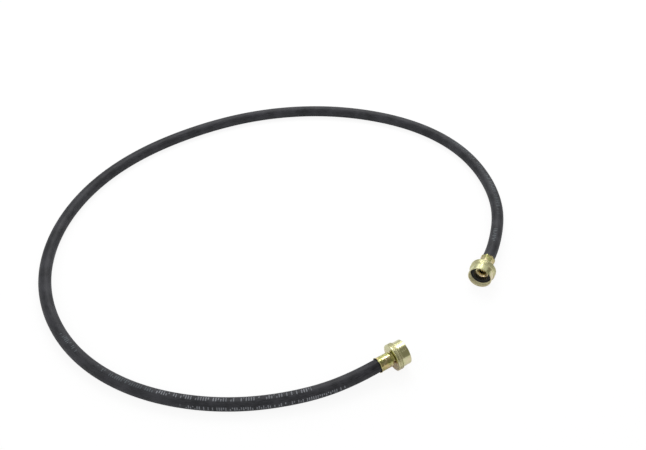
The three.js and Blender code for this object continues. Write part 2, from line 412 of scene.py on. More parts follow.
def straight_place(tree, geometry):
    section = put(tree, "ShaderNodeSeparateXYZ", {0: named(tree, "section", "FLOAT_VECTOR")})
    place = combined(tree, section.outputs[0], section.outputs[1], named(tree, "along", "FLOAT"))
    return stored(tree, geometry, "place", "FLOAT_VECTOR", place)


rail = upright_rail(hose_tree, hose_in["Route"], hose_in["Ring Spacing"])
walls = []
for radius_input in ("Outer Radius", "Bore Radius"):
    circle = put(
        hose_tree,
        "GeometryNodeCurvePrimitiveCircle",
        {"Resolution": hose_in["Sides"], "Radius": hose_in[radius_input]},
    ).outputs[0]
    section = with_section(hose_tree, circle)
    swept = put(hose_tree, "GeometryNodeCurveToMesh", {"Curve": rail, "Profile Curve": section})
    walls.append(swept.outputs[0])
bore_wall = put(hose_tree, "GeometryNodeFlipFaces", {"Mesh": walls[1]}).outputs[0]
both_walls = put(hose_tree, "GeometryNodeJoinGeometry")
hose_tree.links.new(walls[0], both_walls.inputs[0])
hose_tree.links.new(bore_wall, both_walls.inputs[0])
close_tree(hose_tree, straight_place(hose_tree, both_walls.outputs[0]), hose_in["Finish"], hose_out)

# %% Hose mesh
HOSE_SIDES = 36
RING_SPACING = 3.5

hose_tube = baked(
    hose_route,
    hose_tree,
    {
        "Outer Radius": HOSE_RADIUS * MM, "Bore Radius": HOSE_BORE_RADIUS * MM,
        "Sides": HOSE_SIDES, "Ring Spacing": RING_SPACING * MM, "Finish": hose_rubber,
    },
    "hose_tube",
)
shell = bmesh.new()
shell.from_mesh(hose_tube.data)
for end_name in ENDS:
    end_point = leads[end_name][0]
    open_ring = [
        edge
        for edge in shell.edges
        if edge.is_boundary and (edge.verts[0].co - end_point).length < 2 * HOSE_RADIUS * MM
    ]
    bmesh.ops.bridge_loops(shell, edges=open_ring)
shell.to_mesh(hose_tube.data)
shell.free()
shell_report(hose_tube)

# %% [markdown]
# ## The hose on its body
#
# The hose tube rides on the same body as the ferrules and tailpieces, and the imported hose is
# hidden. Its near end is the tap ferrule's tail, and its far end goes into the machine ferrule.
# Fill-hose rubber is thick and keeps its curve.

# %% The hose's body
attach(hose_tube, "hose_line")
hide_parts("hose")

# %% [markdown]
# ## Printed marks
#
# A real fill hose has pale print in lines along it, worn faint in places. Here it is only plain
# bars, which say nothing. They could be painted by the material, but a picture baked from a hose
# 1.5 m long would blur them, so they are real ink-thin plates. The tree sweeps a short arc along
# the same route, then cuts it into bars: each cell of the strip keeps its first part, a seeded
# random number leaves some cells blank, and another cuts the bars to uneven heights, hung by
# turns from the two edges of the line. Six runs of it make the lines, the last four in worn ink.

# %% Print tree
SHORTEST_BAR = 0.3

print_tree, print_in, print_out = new_group(
    "print_bars",
    "GeometryNodeTree",
    [
        ("Route", GEOMETRY), ("Radius", NUMBER), ("Start Angle", NUMBER), ("Sweep Angle", NUMBER),
        ("Cell Length", NUMBER), ("Bar Share", NUMBER), ("Blank Share", NUMBER),
        ("Run Start", NUMBER), ("Run End", NUMBER), ("Seed", NUMBER), ("Finish", FINISH),
    ],
    [("Geometry", GEOMETRY)],
)
print_rail = upright_rail(
    print_tree, print_in["Route"], math_node(print_tree, "MULTIPLY", print_in["Cell Length"], 0.25)
)
arc = put(
    print_tree,
    "GeometryNodeCurveArc",
    {
        "Resolution": 7, "Radius": print_in["Radius"], "Start Angle": print_in["Start Angle"],
        "Sweep Angle": print_in["Sweep Angle"],
    },
).outputs[0]
arc_share = put(print_tree, "GeometryNodeSplineParameter").outputs["Factor"]
measured_arc = stored(print_tree, arc, "across", "FLOAT", arc_share)
strip = put(
    print_tree,
    "GeometryNodeCurveToMesh",
    {"Curve": print_rail, "Profile Curve": with_section(print_tree, measured_arc)},
).outputs[0]
placed_strip = straight_place(print_tree, strip)
along = named(print_tree, "along", "FLOAT")
cells = math_node(print_tree, "DIVIDE", along, print_in["Cell Length"])
cell_share = math_node(print_tree, "FRACT", cells)
beyond_bar = math_node(print_tree, "GREATER_THAN", cell_share, print_in["Bar Share"])
cell_number = math_node(print_tree, "FLOOR", cells)
cell_number = math_node(print_tree, "ADD", cell_number, print_in["Seed"])
noise = put(
    print_tree, "ShaderNodeTexWhiteNoise", {"W": cell_number}, noise_dimensions="1D"
).outputs
blank = math_node(print_tree, "LESS_THAN", noise["Value"], print_in["Blank Share"])
chance = put(print_tree, "ShaderNodeSeparateXYZ", {0: noise["Color"]}).outputs[1]
bar_height = spread(print_tree, chance, 0.0, 0.6, SHORTEST_BAR, 1.0)
hung_from = math_node(print_tree, "FLOORED_MODULO", cell_number, 2.0)
from_edge = math_node(print_tree, "SUBTRACT", named(print_tree, "across", "FLOAT"), hung_from)
from_edge = math_node(print_tree, "ABSOLUTE", from_edge)
past_bar = math_node(print_tree, "GREATER_THAN", from_edge, bar_height)
before_run = math_node(print_tree, "LESS_THAN", along, print_in["Run Start"])
after_run = math_node(print_tree, "GREATER_THAN", along, print_in["Run End"])
cut = math_node(print_tree, "MAXIMUM", beyond_bar, blank)
for unwanted in (past_bar, before_run, after_run):
    cut = math_node(print_tree, "MAXIMUM", cut, unwanted)
bars = put(
    print_tree,
    "GeometryNodeDeleteGeometry",
    {"Geometry": placed_strip, "Selection": cut},
    domain="FACE",
).outputs[0]
close_tree(print_tree, bars, print_in["Finish"], print_out)

# %% Runs of bars
INK_THICKNESS = 0.04
BAR_SHARE = 0.5
BLANK_SHARE = 0.16
# Angles round the hose are 180 for level outwards and 270 for straight up, runs are in mm
# name, middle angle, width as an angle, cell in mm, start, end, seed, ink
PRINT_RUNS = [
    ("outer_print", 192, 34, 2.3, 60, 235, 11, print_ink),
    ("upper_print", 277, 38, 2.7, 95, 265, 57, print_ink),
    ("faded_print", 275, 38, 2.7, 265, 342, 57, worn_ink),
    ("left_print", 272, 38, 2.7, 374, 410, 5, worn_ink),
    ("far_print", 265, 36, 3.3, 1255, 1430, 83, worn_ink),
    ("last_print", 282, 38, 3.3, 1457, 1486, 29, worn_ink),
]
for run_name, middle, width, cell, run_start, run_end, seed, ink in PRINT_RUNS:
    bar_line = baked(
        hose_route,
        print_tree,
        {
            "Radius": (HOSE_RADIUS + INK_THICKNESS) * MM,
            "Start Angle": math.radians(middle - width / 2), "Sweep Angle": math.radians(width),
            "Cell Length": cell * MM, "Bar Share": BAR_SHARE, "Blank Share": BLANK_SHARE,
            "Run Start": run_start * MM, "Run End": run_end * MM, "Seed": float(seed),
            "Finish": ink,
        },
        run_name,
    )
    shell = bmesh.new()
    shell.from_mesh(bar_line.data)
    bmesh.ops.solidify(shell, geom=shell.faces[:], thickness=2 * INK_THICKNESS * MM)
    shell.to_mesh(bar_line.data)
    shell.free()
    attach(bar_line, "hose_line")
    shell_report(bar_line)
bpy.data.objects.remove(hose_route)

# %% [markdown]
# ## Yellow zinc plate
#
# The couplings are steel, plated with zinc and then dipped in a yellow chromate bath. The bath
# leaves a film so thin that it shows faint green and rose clouds over pale gold. One gold colour
# would look like brass, so the group clouds four colours over each other. The green leans towards
# the top and the rose towards the bottom, as painted reflection colour that stands in for the
# film's sheen changing with the angle. The group also gives fine turning lines, which run round
# the axis because they change only along it. A mask of the hollows and of the valleys between the
# knurl's pyramids paints shade there: it darkens their colour and makes the metal rougher. Inside
# the nut the colour is painted paler, as painted reflected light, and the film there scatters
# more light than it mirrors, so the group also says how metallic each place is.

# %% Plating group
# Each cloud's lean shifts it with height, green upwards and rose downwards: painted reflection
# colour
CLOUDS = [
    {"tint": "Gold", "shift": 0.0, "low": 0.42, "high": 0.62, "most": 1.0, "sheen_lean": 0.0},
    {"tint": "Green", "shift": 3.1, "low": 0.46, "high": 0.66, "most": 0.8, "sheen_lean": 17.0},
    {"tint": "Rose", "shift": 7.7, "low": 0.5, "high": 0.66, "most": 0.7, "sheen_lean": -17.0},
]
plating_film, film_in, film_out = new_group(
    "plating_film",
    "ShaderNodeTree",
    [
        ("Place", POINT), ("Pale", COLOUR), ("Gold", COLOUR), ("Green", COLOUR), ("Rose", COLOUR),
        ("Cloud Scale", NUMBER), ("Polish", NUMBER), ("Bore Radius", NUMBER),
        ("Bore Start", NUMBER), ("Knurl Floor", NUMBER),
    ],
    [("Colour", COLOUR), ("Roughness", NUMBER), ("Metallic", NUMBER), ("Height", NUMBER)],
)
film_place = put(plating_film, "ShaderNodeSeparateXYZ", {0: film_in["Place"]}).outputs
film_colour = film_in["Pale"]
for layer in CLOUDS:
    shift = layer["shift"]
    moved = put(
        plating_film,
        "ShaderNodeVectorMath",
        {0: film_in["Place"], 1: (shift, shift, shift)},
        operation="ADD",
    ).outputs[0]
    cloud = put(
        plating_film,
        "ShaderNodeTexNoise",
        {"Vector": moved, "Scale": film_in["Cloud Scale"], "Detail": 2.0, "Distortion": 0.4},
    ).outputs[0]
    # Painted reflection colour: the cloud shifts with height by its lean
    cloud = math_node(plating_film, "MULTIPLY_ADD", film_place[0], layer["sheen_lean"], cloud)
    mask = spread(plating_film, cloud, layer["low"], layer["high"], 0.0, layer["most"])
    film_colour = colour_mix(plating_film, mask, film_colour, film_in[layer["tint"]])

# %% Hollows, knurl and bore in the same group
# Painted shade: the colour that hollows and knurl valleys are darkened towards
HOLLOW_SHADE_COLOUR = (0.26, 0.22, 0.11, 1)
HOLLOW_DULLNESS = 0.25
VALLEY_DEPTH = 0.2
VALLEY_SHADE_SHARE = 0.7
# Painted reflected light: the pale colour that the inside of the nut is painted
BORE_PAINTED_LIGHT_COLOUR = (0.83, 0.79, 0.50, 1)
BORE_SHARE = 0.8
BORE_DULLNESS = 0.2

reach_out = put(
    plating_film,
    "ShaderNodeVectorMath",
    {0: combined(plating_film, film_place[0], film_place[1])},
    operation="LENGTH",
).outputs["Value"]
past_back = math_node(plating_film, "GREATER_THAN", film_place[2], film_in["Bore Start"])
pointiness = put(plating_film, "ShaderNodeNewGeometry").outputs["Pointiness"]
# Painted shade in the hollows, found where the surface is concave
hollow_shade_mask = spread(plating_film, pointiness, 0.4, 0.485, 0.62, 0.0)
over_floor = math_node(plating_film, "SUBTRACT", reach_out, film_in["Knurl Floor"])
on_knurl = math_node(plating_film, "GREATER_THAN", over_floor, -0.05 * MM)
on_knurl = math_node(plating_film, "MULTIPLY", on_knurl, past_back)
# Painted shade in the valleys between the knurl's pyramids
valley_shade = spread(plating_film, over_floor, 0.0, VALLEY_DEPTH * MM, VALLEY_SHADE_SHARE, 0.0)
valley_shade = math_node(plating_film, "MULTIPLY", valley_shade, on_knurl)
hollow_shade_mask = math_node(plating_film, "MAXIMUM", hollow_shade_mask, valley_shade)
# The painted shade darkens the plating colour
film_colour = colour_mix(plating_film, hollow_shade_mask, film_colour, HOLLOW_SHADE_COLOUR)
near_axis = math_node(plating_film, "LESS_THAN", reach_out, film_in["Bore Radius"])
in_bore = math_node(plating_film, "MULTIPLY", near_axis, past_back)
# The bore is painted paler, as painted reflected light
bore_light_share = math_node(plating_film, "MULTIPLY", in_bore, BORE_SHARE)
film_colour = colour_mix(plating_film, bore_light_share, film_colour, BORE_PAINTED_LIGHT_COLOUR)

# %% Turning lines and dullness in the same group
TURNING_SCALE = 2600.0
SMUDGE_SCALE = 350.0
SMUDGE_RANGE = (0.8, 1.35)

turning = put(
    plating_film,
    "ShaderNodeTexNoise",
    {"W": film_place[2], "Scale": TURNING_SCALE, "Detail": 2.0},
    noise_dimensions="1D",
).outputs[0]
smudge = put(
    plating_film,
    "ShaderNodeTexNoise",
    {"Vector": film_in["Place"], "Scale": SMUDGE_SCALE, "Detail": 4.0},
).outputs[0]
dullness = spread(plating_film, smudge, 0.35, 0.65, *SMUDGE_RANGE)
dullness = math_node(plating_film, "MULTIPLY", dullness, film_in["Polish"])
dullness = math_node(plating_film, "MULTIPLY_ADD", hollow_shade_mask, HOLLOW_DULLNESS, dullness)
dullness = math_node(plating_film, "MULTIPLY_ADD", in_bore, BORE_DULLNESS, dullness)
metal_share = math_node(plating_film, "MULTIPLY_ADD", in_bore, -BORE_SHARE, 1.0)
give(
    plating_film,
    film_out,
    {"Colour": film_colour, "Roughness": dullness, "Metallic": metal_share, "Height": turning},
)
print("plating_film nodes:", len(plating_film.nodes))

# %% Plated materials
THREAD_RADIUS = 13.6
KNURL_FLOOR = 15.42
TURNING_DEPTH = 0.00002


def plated(name, **settings):
    material = bpy.data.materials.new(name)
    material.use_nodes = True
    tree = material.node_tree
    shader = tree.nodes["Principled BSDF"]
    place = put(tree, "ShaderNodeAttribute", attribute_name="place").outputs["Vector"]
    values = {label.replace("_", " ").title(): value for label, value in settings.items()}
    values["Place"] = place
    film = put(tree, "ShaderNodeGroup", values, node_tree=plating_film).outputs
    bump = put(
        tree,
        "ShaderNodeBump",
        {"Height": film["Height"], "Strength": 0.25, "Distance": TURNING_DEPTH},
    ).outputs[0]
    give(
        tree,
        shader,
        {
            "Base Color": film["Colour"], "Roughness": film["Roughness"],
            "Metallic": film["Metallic"], "Normal": bump,
        },
    )
    return material


nut_plate = plated(
    "nut_plate", pale=(0.75, 0.68, 0.48, 1), gold=(0.67, 0.60, 0.36, 1),
    green=(0.60, 0.61, 0.33, 1), rose=(0.74, 0.58, 0.44, 1), cloud_scale=90.0, polish=0.15,
    bore_radius=(THREAD_RADIUS + 0.15) * MM, bore_start=20 * MM, knurl_floor=KNURL_FLOOR * MM,
)
ferrule_plate = plated(
    "ferrule_plate", pale=(0.76, 0.66, 0.42, 1), gold=(0.56, 0.45, 0.21, 1),
    green=(0.34, 0.36, 0.12, 1), rose=(0.62, 0.42, 0.30, 1), cloud_scale=140.0, polish=0.13,
)
tailpiece_plate = plated(
    "tailpiece_plate", pale=(0.78, 0.70, 0.42, 1), gold=(0.66, 0.54, 0.26, 1),
    green=(0.50, 0.52, 0.26, 1), rose=(0.64, 0.48, 0.32, 1), cloud_scale=160.0, polish=0.22,
)
print("plated materials:", nut_plate.name, ferrule_plate.name, tailpiece_plate.name)

# %% [markdown]
# ## Turned pieces
#
# Nuts, tailpieces and washers are turned shapes: one outline spun round the coupling's axis. The
# Screw modifier could spin it, but a few lines of mesh code also round each corner by its own
# radius and keep the seam closed. Real edges are never perfectly sharp, and these small rounds
# are what catches the light. The outline runs out along the outer side and back along the inner
# one, so the faces point outwards. Each mesh is made about its own Z axis, remembers that place,
# and is then put where its coupling lies.

# %% Turning helpers
ROUND_STEPS = 4
EDGE_SHARE = 0.48
SHARP_ANGLE = 40


def rounded(corners):
    # Corners are (along, radius, round) in mm, and each round is a short curve between two edges
    outline = []
    for index, (along, radius, round_size) in enumerate(corners):
        here = Vector((along, radius))
        if round_size == 0:
            outline.append(here)
            continue
        back = Vector(corners[index - 1][:2]) - here
        ahead = Vector(corners[(index + 1) % len(corners)][:2]) - here
        reach = round_size / math.tan(back.angle(ahead) / 2)
        start = here + back.normalized() * min(reach, EDGE_SHARE * back.length)
        end = here + ahead.normalized() * min(reach, EDGE_SHARE * ahead.length)
        for step in range(ROUND_STEPS + 1):
            share = step / ROUND_STEPS
            pull = here * 2 * share * (1 - share)
            outline.append(start * (1 - share) ** 2 + pull + end * share**2)
    return outline


def ring_mesh(name, rows, segments, reach, material):
    # rows are closed round the section; reach(row, angle) gives (along, radius) in mm
    vertices = []
    for row in rows:
        for segment in range(segments):
            angle = 2 * math.pi * segment / segments
            along, radius = reach(row, angle)
            across = (radius * math.cos(angle) * MM, radius * math.sin(angle) * MM)
            vertices.append((*across, along * MM))
    faces = []
    for index in range(len(rows)):
        here = index * segments
        there = (index + 1) % len(rows) * segments
        for segment in range(segments):
            turn = (segment + 1) % segments
            faces.append((here + segment, here + turn, there + turn, there + segment))
    mesh = bpy.data.meshes.new(name)
    mesh.from_pydata(vertices, [], faces)
    mesh.materials.append(material)
    piece = bpy.data.objects.new(name, mesh)
    scene.collection.objects.link(piece)
    return piece


def turned(name, corners, segments, material):
    return ring_mesh(name, rounded(corners), segments, lambda row, angle: (row.x, row.y), material)


def set_in_place(piece, end, body, node):
    mesh = piece.data
    if "place" not in mesh.attributes:
        place = mesh.attributes.new("place", "FLOAT_VECTOR", "POINT")
        for vertex, item in zip(mesh.vertices, place.data):
            item.vector = vertex.co
    mesh.shade_smooth()
    mesh.set_sharp_from_angle(angle=math.radians(SHARP_ANGLE))
    mesh.transform(end["frame"])
    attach(piece, body)
    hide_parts(node)
    shell_report(piece)


# %% [markdown]
# ## The swivel nut
#
# The nut is a pressed cup: a wide collar to grip, and a skirt that holds the thread. Rolling the
# thread leaves a faint wave on the skirt's outside too. The turned body is an input of a tree that
# adds what repeats. The knurl is 120 coarse cut pyramids in three staggered rows, one shape set on
# points that are counted round the collar. The thread is a tapering right-handed ridge swept along
# a spiral, 11.5 turns to the inch, as on a garden tap. A Boolean cut could make both, but it is
# slow and leaves ragged faces.

# %% Nut body
THREAD_PITCH = 25.4 / 11.5
SKIRT_RADIUS = 14.4
SKIRT_BACK_AT = 25.7
MOUTH_AT = 35.4
NECK_HOLE = 5.75
NUT_FLOOR_AT = 22.6
RELIEF_RADIUS = 13.1
WAVE_STEPS = 24
WAVE_DEPTH = 0.035


def nut_corners():
    outer = [
        (NUT_BACK_AT, NECK_HOLE, 0.15), (NUT_BACK_AT, COLLAR_RADIUS, 1.15),
        (19.9, COLLAR_RADIUS, 0.08), (20.06, KNURL_FLOOR, 0.05), (24.1, KNURL_FLOOR, 0.05),
        (24.26, COLLAR_RADIUS, 0.1), (24.7, 15.72, 0.12), (24.9, 15.15, 0.12), (25.5, 15.1, 0.2),
        (SKIRT_BACK_AT, SKIRT_RADIUS, 0.25),
    ]
    for step in range(1, WAVE_STEPS):
        along = SKIRT_BACK_AT + 1.0 + (MOUTH_AT - SKIRT_BACK_AT - 2.2) * step / WAVE_STEPS
        dip = WAVE_DEPTH * (1 - math.cos(2 * math.pi * along / THREAD_PITCH))
        outer.append((along, SKIRT_RADIUS - dip, 0))
    mouth = [
        (MOUTH_AT - 0.45, SKIRT_RADIUS, 0.1), (MOUTH_AT, SKIRT_RADIUS - 0.25, 0.12),
        (MOUTH_AT, THREAD_RADIUS + 0.1, 0.08), (MOUTH_AT - 0.35, THREAD_RADIUS, 0.08),
    ]
    socket = [
        (29.7, THREAD_RADIUS, 0.1), (29.4, RELIEF_RADIUS, 0.1), (NUT_FLOOR_AT, RELIEF_RADIUS, 0.4),
        (NUT_FLOOR_AT, NECK_HOLE, 0.15),
    ]
    return outer + mouth + socket


# %% Knurl and thread tree
nut_tree, nut_in, nut_out = new_group(
    "knurl_and_thread",
    "GeometryNodeTree",
    [
        ("Nut Body", GEOMETRY), ("Knurl Radius", NUMBER), ("Knurl Columns", WHOLE),
        ("Knurl Rows", WHOLE), ("Knurl Start", NUMBER), ("Row Spacing", NUMBER),
        ("Knurl Height", NUMBER), ("Thread Radius", NUMBER), ("Thread Pitch", NUMBER),
        ("Thread Turns", NUMBER), ("Thread Start", NUMBER), ("Thread Height", NUMBER),
        ("Finish", FINISH),
    ],
    [("Geometry", GEOMETRY)],
)
point_count = math_node(nut_tree, "MULTIPLY", nut_in["Knurl Columns"], nut_in["Knurl Rows"])
index = put(nut_tree, "GeometryNodeInputIndex").outputs[0]
row = math_node(nut_tree, "DIVIDE", index, nut_in["Knurl Columns"])
row = math_node(nut_tree, "FLOOR", row)
stagger = math_node(nut_tree, "FLOORED_MODULO", row, 2.0)
stagger = math_node(nut_tree, "MULTIPLY", stagger, 0.5)
column = math_node(nut_tree, "FLOORED_MODULO", index, nut_in["Knurl Columns"])
column = math_node(nut_tree, "ADD", column, stagger)
share = math_node(nut_tree, "DIVIDE", column, nut_in["Knurl Columns"])
knurl_angle = math_node(nut_tree, "MULTIPLY", share, 2 * math.pi)
cosine = math_node(nut_tree, "COSINE", knurl_angle)
sine = math_node(nut_tree, "SINE", knurl_angle)
knurl_x = math_node(nut_tree, "MULTIPLY", cosine, nut_in["Knurl Radius"])
knurl_y = math_node(nut_tree, "MULTIPLY", sine, nut_in["Knurl Radius"])
knurl_z = math_node(nut_tree, "MULTIPLY_ADD", row, nut_in["Row Spacing"], nut_in["Knurl Start"])
knurl_points = put(
    nut_tree,
    "GeometryNodePoints",
    {"Count": point_count, "Position": combined(nut_tree, knurl_x, knurl_y, knurl_z)},
).outputs[0]
half_round = math_node(nut_tree, "MULTIPLY", nut_in["Knurl Radius"], math.pi)
half_width = math_node(nut_tree, "DIVIDE", half_round, nut_in["Knurl Columns"])
pyramid = put(
    nut_tree,
    "GeometryNodeMeshCone",
    {"Vertices": 4, "Radius Top": 0.22, "Radius Bottom": 1.0, "Depth": 1.0},
).outputs[0]
laid_pyramid = put(
    nut_tree, "GeometryNodeTransform", {"Geometry": pyramid, "Rotation": (0, math.pi / 2, 0)}
).outputs[0]
pyramid_scale = combined(nut_tree, nut_in["Knurl Height"], half_width, nut_in["Row Spacing"])
sized_pyramid = put(
    nut_tree, "GeometryNodeTransform", {"Geometry": laid_pyramid, "Scale": pyramid_scale}
).outputs[0]
pyramid_turn = combined(nut_tree, z=knurl_angle)
knurl = put(
    nut_tree,
    "GeometryNodeInstanceOnPoints",
    {"Points": knurl_points, "Instance": sized_pyramid, "Rotation": pyramid_turn},
).outputs[0]

# %% Thread ridge in the same tree
thread_rise = math_node(nut_tree, "MULTIPLY", nut_in["Thread Turns"], nut_in["Thread Pitch"])
half_height = math_node(nut_tree, "MULTIPLY", nut_in["Thread Height"], 0.5)
ridge_radius = math_node(nut_tree, "SUBTRACT", nut_in["Thread Radius"], half_height)
helix = put(
    nut_tree,
    "GeometryNodeCurveSpiral",
    {
        "Resolution": 72, "Rotations": nut_in["Thread Turns"], "Start Radius": ridge_radius,
        "End Radius": ridge_radius, "Height": thread_rise, "Reverse": True,
    },
).outputs[0]
thread_start = combined(nut_tree, z=nut_in["Thread Start"])
raised_helix = put(
    nut_tree, "GeometryNodeTransform", {"Geometry": helix, "Translation": thread_start}
).outputs[0]
level_helix = put(
    nut_tree, "GeometryNodeSetCurveNormal", {"Curve": raised_helix}, mode="Z_UP"
).outputs[0]
part_way = put(nut_tree, "GeometryNodeSplineParameter").outputs["Factor"]
run_in = spread(nut_tree, part_way, 0.0, 0.12, 0.05, 1.0)
run_out = spread(nut_tree, part_way, 0.88, 1.0, 1.0, 0.05)
taper = math_node(nut_tree, "MINIMUM", run_in, run_out)
tapered_helix = put(
    nut_tree, "GeometryNodeSetCurveRadius", {"Curve": level_helix, "Radius": taper}
).outputs[0]
ridge_section = put(
    nut_tree,
    "GeometryNodeCurvePrimitiveQuadrilateral",
    {
        "Height": nut_in["Thread Height"],
        "Bottom Width": math_node(nut_tree, "MULTIPLY", nut_in["Thread Pitch"], 0.94),
        "Top Width": math_node(nut_tree, "MULTIPLY", nut_in["Thread Pitch"], 0.12),
        "Offset": 0.0,
    },
    mode="TRAPEZOID",
).outputs[0]
turned_section = put(
    nut_tree, "GeometryNodeTransform", {"Geometry": ridge_section, "Rotation": (0, 0, math.pi / 2)}
).outputs[0]
thread = put(
    nut_tree,
    "GeometryNodeCurveToMesh",
    {"Curve": tapered_helix, "Profile Curve": turned_section, "Fill Caps": True},
).outputs[0]
whole_nut = put(nut_tree, "GeometryNodeJoinGeometry")
for part in (nut_in["Nut Body"], knurl, thread):
    nut_tree.links.new(part, whole_nut.inputs[0])
real_nut = put(
    nut_tree, "GeometryNodeRealizeInstances", {"Geometry": whole_nut.outputs[0]}
).outputs[0]
own_place = put(nut_tree, "GeometryNodeInputPosition").outputs[0]
placed_nut = stored(nut_tree, real_nut, "place", "FLOAT_VECTOR", own_place)
close_tree(nut_tree, placed_nut, nut_in["Finish"], nut_out)

# %% Both nuts
NUT_SEGMENTS = 128
NUT_SETTINGS = {
    "Knurl Radius": 15.4 * MM, "Knurl Columns": 40, "Knurl Rows": 3,
    "Knurl Start": 21.08 * MM, "Row Spacing": 1.0 * MM, "Knurl Height": 0.3 * MM,
    "Thread Radius": (THREAD_RADIUS + 0.08) * MM, "Thread Pitch": THREAD_PITCH * MM,
    "Thread Turns": 1.9, "Thread Start": 30.3 * MM, "Thread Height": 0.55 * MM,
    "Finish": nut_plate,
}
for end_name, end in ENDS.items():
    body = turned(end_name + "_nut_body", nut_corners(), NUT_SEGMENTS, nut_plate)
    nut = baked(body, nut_tree, NUT_SETTINGS, end_name + "_swivel_nut")
    bpy.data.objects.remove(body)
    set_in_place(nut, end, end_name + "_swivel", end_name + "_nut")

# %% [markdown]
# ## The crimped ferrule
#
# The ferrule starts as a plain sleeve. Eight jaws close on it and leave eight flats, with a
# standing ridge where each two jaws meet. Three ribs in the jaws pinch a groove across the
# ridges, and the tail, which the jaws don't reach, stays flared. A sculpted mesh could follow the
# photograph, but the shape has a rule, so one function gives the sleeve's radius at any place on
# it, and the same mesh code as before goes round. The wall is the same all over, so the inside
# follows the outside.

# %% Ferrule shape
FERRULE_FLAT = 8.35
FERRULE_WALL = 0.45
SHOULDER = 2.2
BODY_END_AT = FERRULE_LENGTH - SHOULDER
FLARE_LENGTH = 2.6
FLARE_RISE = 0.6
TAIL_SCALLOP = 0.8
JAWS = 8
RIDGE = 0.5
RIDGE_SOFTNESS = 0.12
GROOVES_AT = (4.7, 8.9, 13.1)
GROOVE_WIDTH = 1.7
GROOVE_SINK = 0.12
RIDGE_PINCH = 0.7
LIP_RADIUS = 5.7
# A dead flat would be 1 and a round sleeve 0
FLATNESS = 0.88


def groove_depth(along):
    depth = 0.0
    for middle in GROOVES_AT:
        if abs(along - middle) < GROOVE_WIDTH / 2:
            depth = math.cos(math.pi * (along - middle) / GROOVE_WIDTH) ** 2
    return depth


def sleeve_reach(along, angle, crimp_turn):
    # Where a point of the sleeve's outside lies: (along, radius) in mm
    sector = 2 * math.pi / JAWS
    from_flat = (angle - crimp_turn + sector / 2) % sector - sector / 2
    tail = max(0.0, 1 - along / FLARE_LENGTH) ** 2
    past_body = min(1.0, max(0.0, (along - BODY_END_AT) / SHOULDER))
    drop = (FERRULE_FLAT - LIP_RADIUS - FERRULE_WALL) * (1 - math.sqrt(1 - past_body**2))
    groove = groove_depth(along)
    flat = FERRULE_FLAT + FLARE_RISE * tail - GROOVE_SINK * groove
    ridge = RIDGE * (1 - RIDGE_PINCH * groove) * (1 - past_body) ** 2
    corner = flat / math.cos(FLATNESS * from_flat)
    blend = max(RIDGE_SOFTNESS - abs(corner - flat - ridge), 0) / RIDGE_SOFTNESS
    radius = min(corner, flat + ridge) - blend**2 * RIDGE_SOFTNESS / 4 - drop
    pulled = along + TAIL_SCALLOP * tail * (1 - abs(from_flat) / (sector / 2))
    return pulled, radius


# %% Ferrule rows
BODY_STEPS = 56
FERRULE_SEGMENTS = 160


def ferrule_rows():
    # Round the section: out along the outside, over the lip, and back along the inside
    rows = [("out", 0.0)]
    for step in range(BODY_STEPS + 1):
        rows.append(("out", 0.12 + (BODY_END_AT - 0.12) * step / BODY_STEPS))
    for step in range(1, 10):
        rows.append(("out", BODY_END_AT + SHOULDER * math.sin(math.radians(step * 9))))
    rows += [("plain", FERRULE_LENGTH - 0.02, 6.0), ("plain", FERRULE_LENGTH, LIP_RADIUS + 0.1)]
    rows += [("plain", FERRULE_LENGTH - 0.1, LIP_RADIUS), ("plain", SHOULDER_INSIDE_AT, LIP_RADIUS)]
    rows += [("plain", SHOULDER_INSIDE_AT, FERRULE_FLAT - FERRULE_WALL)]
    for step in range(BODY_STEPS + 1):
        rows.append(("in", BODY_END_AT - (BODY_END_AT - 0.2) * step / BODY_STEPS))
    rows.append(("in", 0.0))
    return rows


def ferrule_reach(crimp_turn):
    def reach(row, angle):
        if row[0] == "plain":
            return row[1], row[2]
        along, radius = sleeve_reach(row[1], angle, crimp_turn)
        edge = 0.08 if row[1] == 0.0 else 0.0
        return (along, radius - edge) if row[0] == "out" else (along, radius - FERRULE_WALL + edge)
    return reach


for end_name, end in ENDS.items():
    name = end_name + "_crimped_ferrule"
    shape = ferrule_reach(math.radians(end["crimp_turn"]))
    ferrule = ring_mesh(name, ferrule_rows(), FERRULE_SEGMENTS, shape, ferrule_plate)
    set_in_place(ferrule, end, "hose_line", end_name + "_ferrule")

# %% [markdown]
# ## The tailpiece and the washer
#
# The tailpiece is the tube that the water runs through. Only its flange and the stepped funnel
# in it show, deep in the nut, but the barbs are made too, because the part can be looked at from
# any side and taken apart. The washer lies on the flange and seals against the tap. Its edges are
# rounded by the mould.

# %% Tailpiece
CREST = 4.288
ROOT = 3.888
WATERWAY = 3.188
BARBS = 4
BARB_START = 1.8
BARB_PITCH = 3.1
NECK_AT = 16.1
NECK_RADIUS = 5.4
FLANGE_AT = 22.9
FLANGE_FACE_AT = 25.3
FLANGE_RADIUS = 12.2
FUNNEL_RADIUS = 4.5
TURNED_SEGMENTS = 96


def tailpiece_corners():
    corners = [(BARB_START, WATERWAY, 0.1)]
    for barb in range(BARBS):
        start = BARB_START + BARB_PITCH * barb
        corners += [(start, ROOT, 0.05), (start + 2.85, CREST, 0.08)]
    neck = [(14.2, ROOT, 0.05), (NECK_AT, ROOT, 0.1), (NECK_AT, NECK_RADIUS, 0.15)]
    flange = [
        (FLANGE_AT, NECK_RADIUS, 0.1), (FLANGE_AT, FLANGE_RADIUS, 0.4),
        (FLANGE_FACE_AT, FLANGE_RADIUS, 0.4), (FLANGE_FACE_AT, 6.6, 0.2),
    ]
    funnel = [
        (24.3, 5.6, 0.1), (24.3, 5.2, 0.1), (22.7, FUNNEL_RADIUS, 0.2),
        (18.1, FUNNEL_RADIUS, 0.2), (16.8, WATERWAY, 0.2),
    ]
    return corners + neck + flange + funnel


